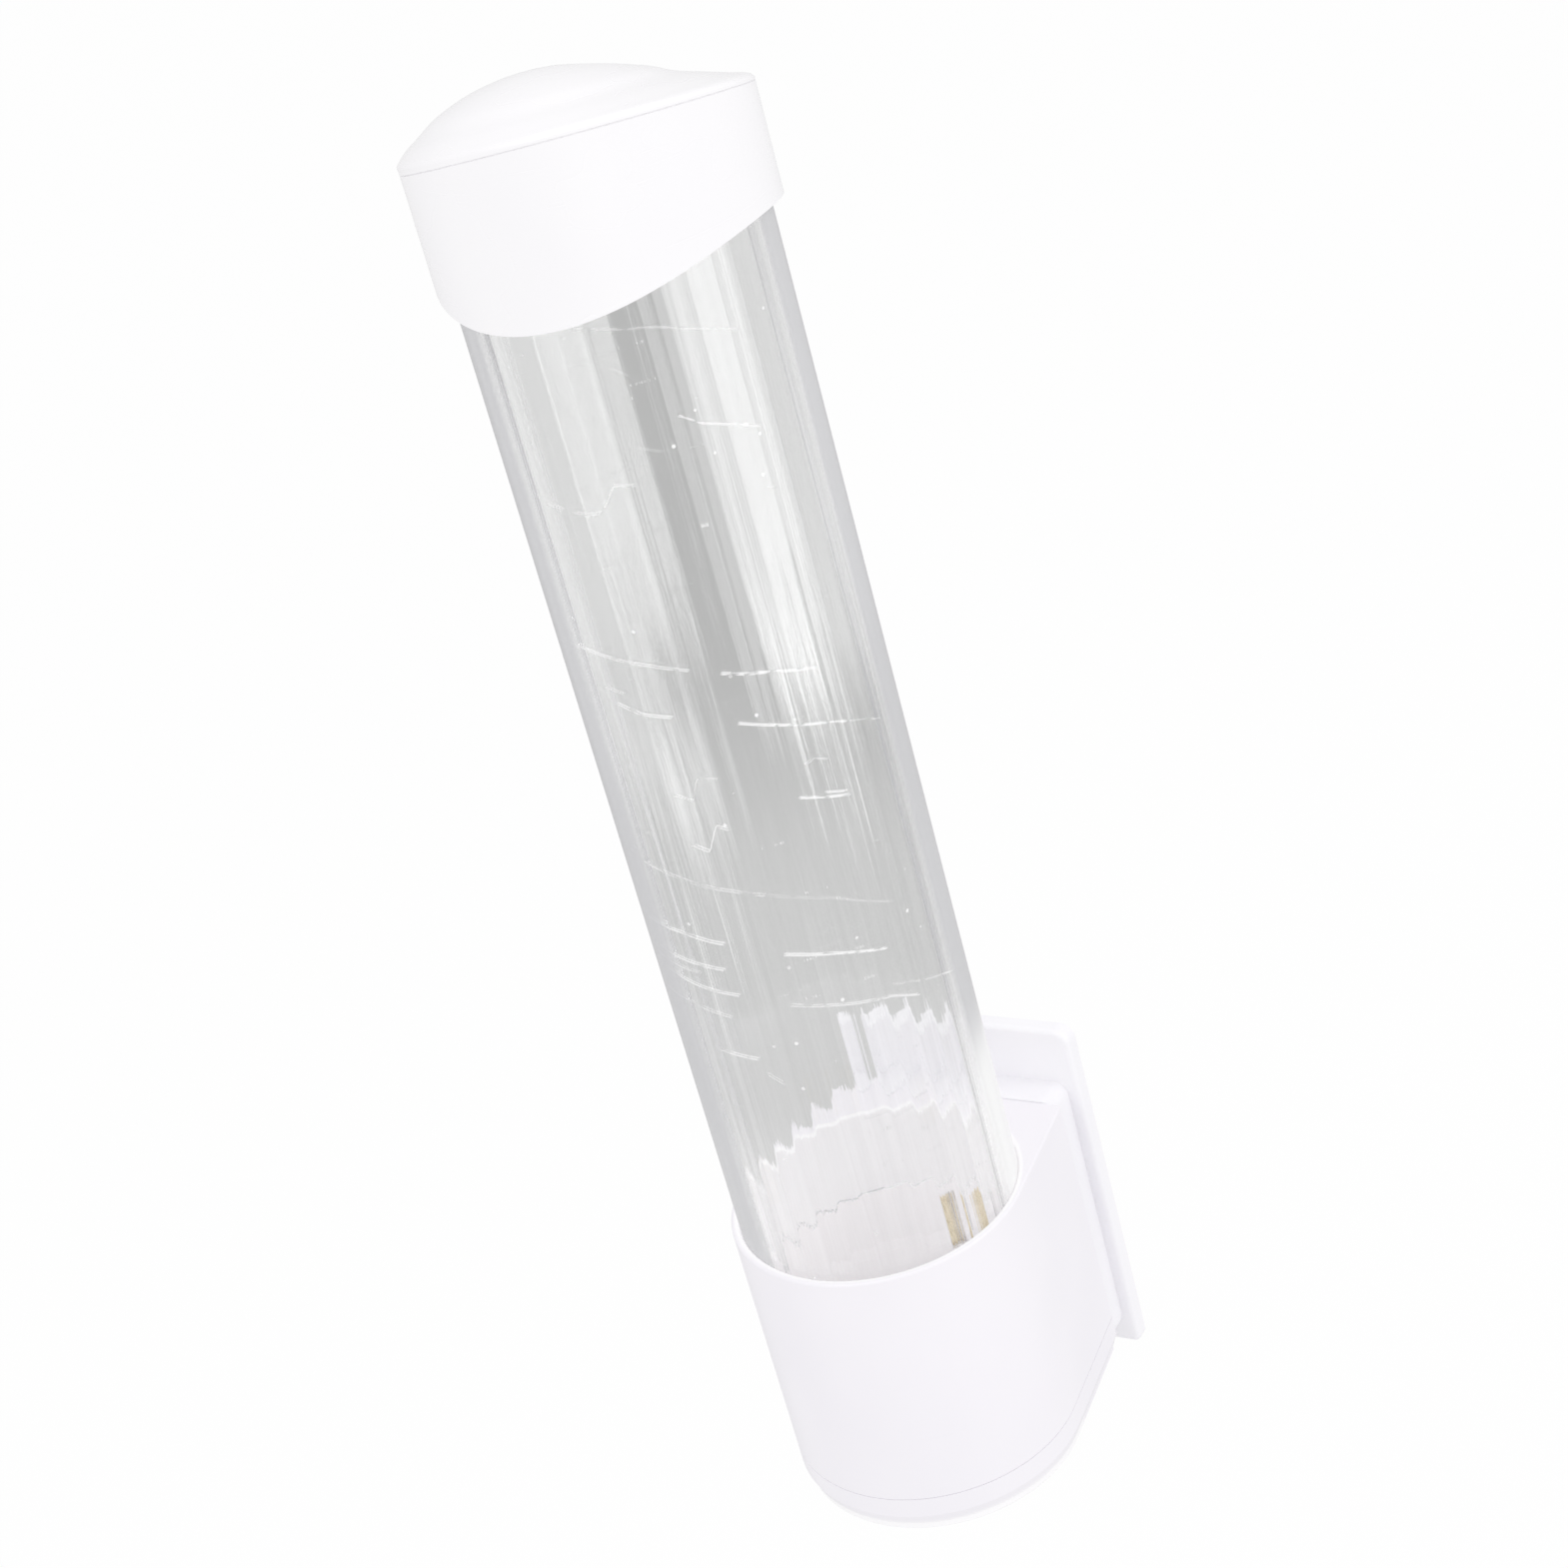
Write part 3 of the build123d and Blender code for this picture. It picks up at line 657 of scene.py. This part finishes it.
# %% Build the tube
tube_wall = 0.0018
flute_depth = 0.00021
flute_count = 36
flute_steps = 20
foot_gap = 0.0001
tube = tube_graph.run("fluted_tube", {
    "Outer radius": tube_radius, "Middle radius": tube_radius - tube_wall,
    "Flute depth": flute_depth, "Flutes": flute_count, "Steps per flute": flute_steps,
    "Bottom": tube_bottom + foot_gap, "Top": tube_top,
    "Axis": (0.0, axis_y, 0.0), "Plastic": tube_plastic,
})
print("tube:", len(tube.data.vertices), "vertices,", len(tube.data.polygons), "faces")


def volume_of(mesh):
    """Signed volume: positive when the faces point outwards."""
    total = 0.0
    for face in mesh.polygons:
        corners = [mesh.vertices[index].co for index in face.vertices]
        for second, third in zip(corners[1:], corners[2:]):
            total += corners[0].dot(second.cross(third)) / 6
    return total


if volume_of(tube.data) < 0:
    tube.data.flip_normals()
print("tube volume in cubic centimetres: %.1f" % (volume_of(tube.data) * 1e6))
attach(tube, "holder")
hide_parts("cup_tube")
tube.visible_shadow = False
tube.visible_diffuse = False

# %% [markdown]
# ## Finishes on the CAD nodes
# Every other part keeps its CAD mesh, apart from the leaf springs, whose meshes are copied in
# the next step. A table says which finish each one wears.

# %% Dress the nodes
sides = ("rear", "left", "right")
wears = {
    "wall_bracket": white_bracket, "holder_body": white_holder, "bottom_cover": white_holder,
    "cup_ring": white_ring, "lid": white_lid, "cover_screws": steel, "lock_pin": steel,
    "cup_tube": tube_plastic,
}
for side in sides:
    wears["pawl_" + side] = white_pawl
    wears["pawl_pin_" + side] = steel
    wears["leaf_spring_" + side] = brass
for name, material in wears.items():
    for slot in nodes[name].material_slots:
        slot.material = material
print("dressed", len(wears), "of", len(nodes), "nodes")

# %% [markdown]
# A leaf spring is one strip that bends: its tab stays in the ring while its foot is pushed out
# by the pawl. A rigid strip would be cut by the pawl as that swings. Here each leaf is drawn by a
# merged copy of its mesh, shaded smooth with sharp edges past thirty degrees, in place of the
# CAD node.

# %% Leaf springs as merged copies
leaf_sharp_edge = math.radians(30)


def bending_leaf(side):
    mesh = nodes["leaf_spring_" + side].data.copy()
    shell = bmesh.new()
    shell.from_mesh(mesh)
    bmesh.ops.remove_doubles(shell, verts=shell.verts, dist=1e-6)
    shell.to_mesh(mesh)
    shell.free()
    mesh.shade_smooth()
    mesh.set_sharp_from_angle(angle=leaf_sharp_edge)
    leaf = bpy.data.objects.new("leaf_strip_" + side, mesh)
    bpy.context.scene.collection.objects.link(leaf)
    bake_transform(leaf)
    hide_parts("leaf_spring_" + side)


for side in sides:
    bending_leaf(side)

# %% [markdown]
# ## Camera
# The camera's direction and its lens were solved from the photograph together with its place.
# It stands to the right of the front, looks down on the holder, and is rolled, so that the
# upright tube leans to the left in the picture.

# %% Camera
camera_heading = 0.6426
camera_pitch = -0.4766
camera_roll = 0.2723
sensor_width, focal_length = 36.0, 73.38

level_right = Vector((math.cos(camera_heading), math.sin(camera_heading), 0))
level_ahead = Vector((-math.sin(camera_heading), math.cos(camera_heading), 0))
ahead = level_ahead * math.cos(camera_pitch) + Vector((0, 0, 1)) * math.sin(camera_pitch)
upward = level_right.cross(ahead)
right = level_right * math.cos(camera_roll) - upward * math.sin(camera_roll)
up = level_right * math.sin(camera_roll) + upward * math.cos(camera_roll)

lens = bpy.data.cameras.new("camera")
lens.sensor_fit = "HORIZONTAL"
lens.sensor_width = sensor_width
lens.lens = focal_length
lens.clip_start = 0.01
lens.clip_end = 50.0
camera = bpy.data.objects.new("camera", lens)
bpy.context.scene.collection.objects.link(camera)
axes = Matrix((right, up, -ahead)).transposed()
camera.matrix_world = Matrix.Translation(camera_place) @ axes.to_4x4()
bpy.context.scene.camera = camera
print("camera with a lens of %.1f mm" % lens.lens)

# %% [markdown]
# ## Light
# The picture is high-key: a white surround with hardly any shadow. The world gives an even
# light from all sides. What the camera sees directly is white. Through the clear plastic it
# sees a mid grey, which is how a clear tube shows up against white.

# %% World
seen_sky, seen_floor = 0.992, 1.005
through_near, through_far = 0.645, 0.585
mirrored_sky, glossed = 0.6, 0.75
world_light = 0.95

world = bpy.data.worlds.new("white surround")
bpy.context.scene.world = world
world.use_nodes = True
surround = Nodes(world.node_tree)
sky = surround.rays(seen_sky, mirrored_sky, through_far, glossed, world_light)
background = surround.node("Background", {}, {"Color": sky, "Strength": 1.0})
surround.node("OutputWorld", {}, {"Surface": background})
print("the world lights with", world_light)

# %% [markdown]
# A clear tube is drawn mostly by what it mirrors, and this camera looks down, so its mirror
# images lie on the floor. The floor is plain to the camera. Mirror images alone find lighter
# sectors on it, strong ones to the right, fainter ones to the left and none near the camera, as
# windows and walls stood round the real tube. The sectors start at a ragged line, which is where
# the bands on the tube fray into streaks, and change once more at a second line farther out.
# Nearer than the first line the floor mirrors as dim streaks.

# %% What the floor shows in mirror images
# A row: the turns where a sector starts and ends, in degrees to the right of the camera, the
# softness of its sides, its strength from the first line on, and what the second line adds.
sectors = [
    (16, 29, 1.5, 0.0, 2.4),
    (31, 78, 2.0, 0.0, 3.3),
    (83, 155, 4.0, 0.0, 1.0),
    (-64, -53, 2.5, 0.9, 0.0),
    (-105, -29, 1.5, 1.9, -1.6),
    (-112, -72, 3.0, 0.0, 0.9),
    (-150, -107, 3.0, 0.9, 0.0),
]
first_line, second_line = (1.20, 1.28), (1.38, 1.46)
raggedness = 1.1


def floor_in_mirrors(finish, distance):
    turn = finish.turn(camera_side)
    sockets = {"W": turn, "Scale": 0.22, "Detail": 3.0}
    streaks = finish.node("TexNoise", {"noise_dimensions": "1D"}, sockets)
    ragged = distance + (streaks - 0.5) * raggedness
    far, farther = ragged.capped(*first_line), ragged.capped(*second_line)
    bright = 0.0
    for first, last, soft, strength, change in sectors:
        sector = turn.capped(first - soft, first + soft) * turn.capped(last + soft, last - soft)
        bright = sector * (far * strength + farther * change) + bright
    dim = 0.2 + streaks.capped(0.42, 0.62) * 0.6 + distance.capped(0.9, 0.75) * 0.8
    return bright * (0.75 + streaks * 0.5) + (1 - far) * dim


# %% [markdown]
# The floor itself is a plain pale square. Most of what is seen of it glows, so that it is as
# white as the surround, and the small rest is a matte surface that keeps the object's shadow.

# %% Floor
floor_level = -0.45
floor_size = 14.0
floor_shade, floor_light = (0.87, 0.87, 0.87, 1), (0.90, 0.90, 0.90, 1)
through_reach = (1.05, 1.5)


def make_floor(level, size):
    mesh = bpy.data.meshes.new("floor")
    half = size / 2
    corners = [(-half, -half), (half, -half), (half, half), (-half, half)]
    mesh.from_pydata([(x, y, level) for x, y in corners], [], [(0, 1, 2, 3)])
    floor = bpy.data.objects.new("floor", mesh)
    bpy.context.scene.collection.objects.link(floor)
    finish = Finish("pale floor")
    colour = finish.blend(finish.noise(3.0, detail=3.0), floor_shade, floor_light)
    matte = finish.node("BsdfDiffuse", {}, {"Color": colour})
    distance = finish.off_axis()
    through = through_near - distance.capped(*through_reach) * (through_near - through_far)
    strength = finish.rays(seen_floor, floor_in_mirrors(finish, distance), through, glossed)
    glow = finish.node("Emission", {}, {"Color": strength, "Strength": 1.0})
    glow_share = finish.rays(seen=0.9, mirrored=1.0, through=0.97, glossed=0.9)
    mixed = finish.node("MixShader", {}, {0: glow_share, 1: matte, 2: glow})
    mesh.materials.append(finish.close(mixed))


make_floor(floor_level, floor_size)

# %% [markdown]
# Two soft square lamps stand above the object, one to the right of the camera and one to its
# left. They model the round parts a little, and the world does the rest. The lamps are hidden
# from the camera and from rays through the plastic, which would show them as white squares.

# %% Lamps
# A row: name, turn from the camera to its right, distance, height, side and brightness.
lamps = [
    ("key", 60, 1.5, 1.0, 1.0, 1.25),
    ("fill", -40, 1.5, 1.1, 1.2, 0.7),
]
lamp_target = Vector((0.0, axis_y, 0.15))


def make_lamp(name, place, target, size, strength):
    """A soft square panel. The strength is the brightness of its face."""
    data = bpy.data.lights.new(name, "AREA")
    data.size = size
    data.energy = strength * size * size * math.pi
    lamp = bpy.data.objects.new(name, data)
    bpy.context.scene.collection.objects.link(lamp)
    lamp.location = place
    lamp.rotation_mode = "QUATERNION"
    lamp.rotation_quaternion = (target - place).to_track_quat("-Z", "Y")
    lamp.visible_camera = False
    lamp.visible_transmission = False
    print("lamp:", name, "with %.2f watts" % data.energy)


for name, turn, distance, height, size, strength in lamps:
    angle = camera_heading - math.pi / 2 + math.radians(turn)
    aside = Vector((math.cos(angle) * distance, axis_y + math.sin(angle) * distance, height))
    make_lamp(name, aside, lamp_target, size, strength)

# %% [markdown]
# The Standard view shows a colour as it is written, and the whites of this object were set
# against the photograph in it.

# %% Colour management
bpy.context.scene.view_settings.view_transform = "Standard"
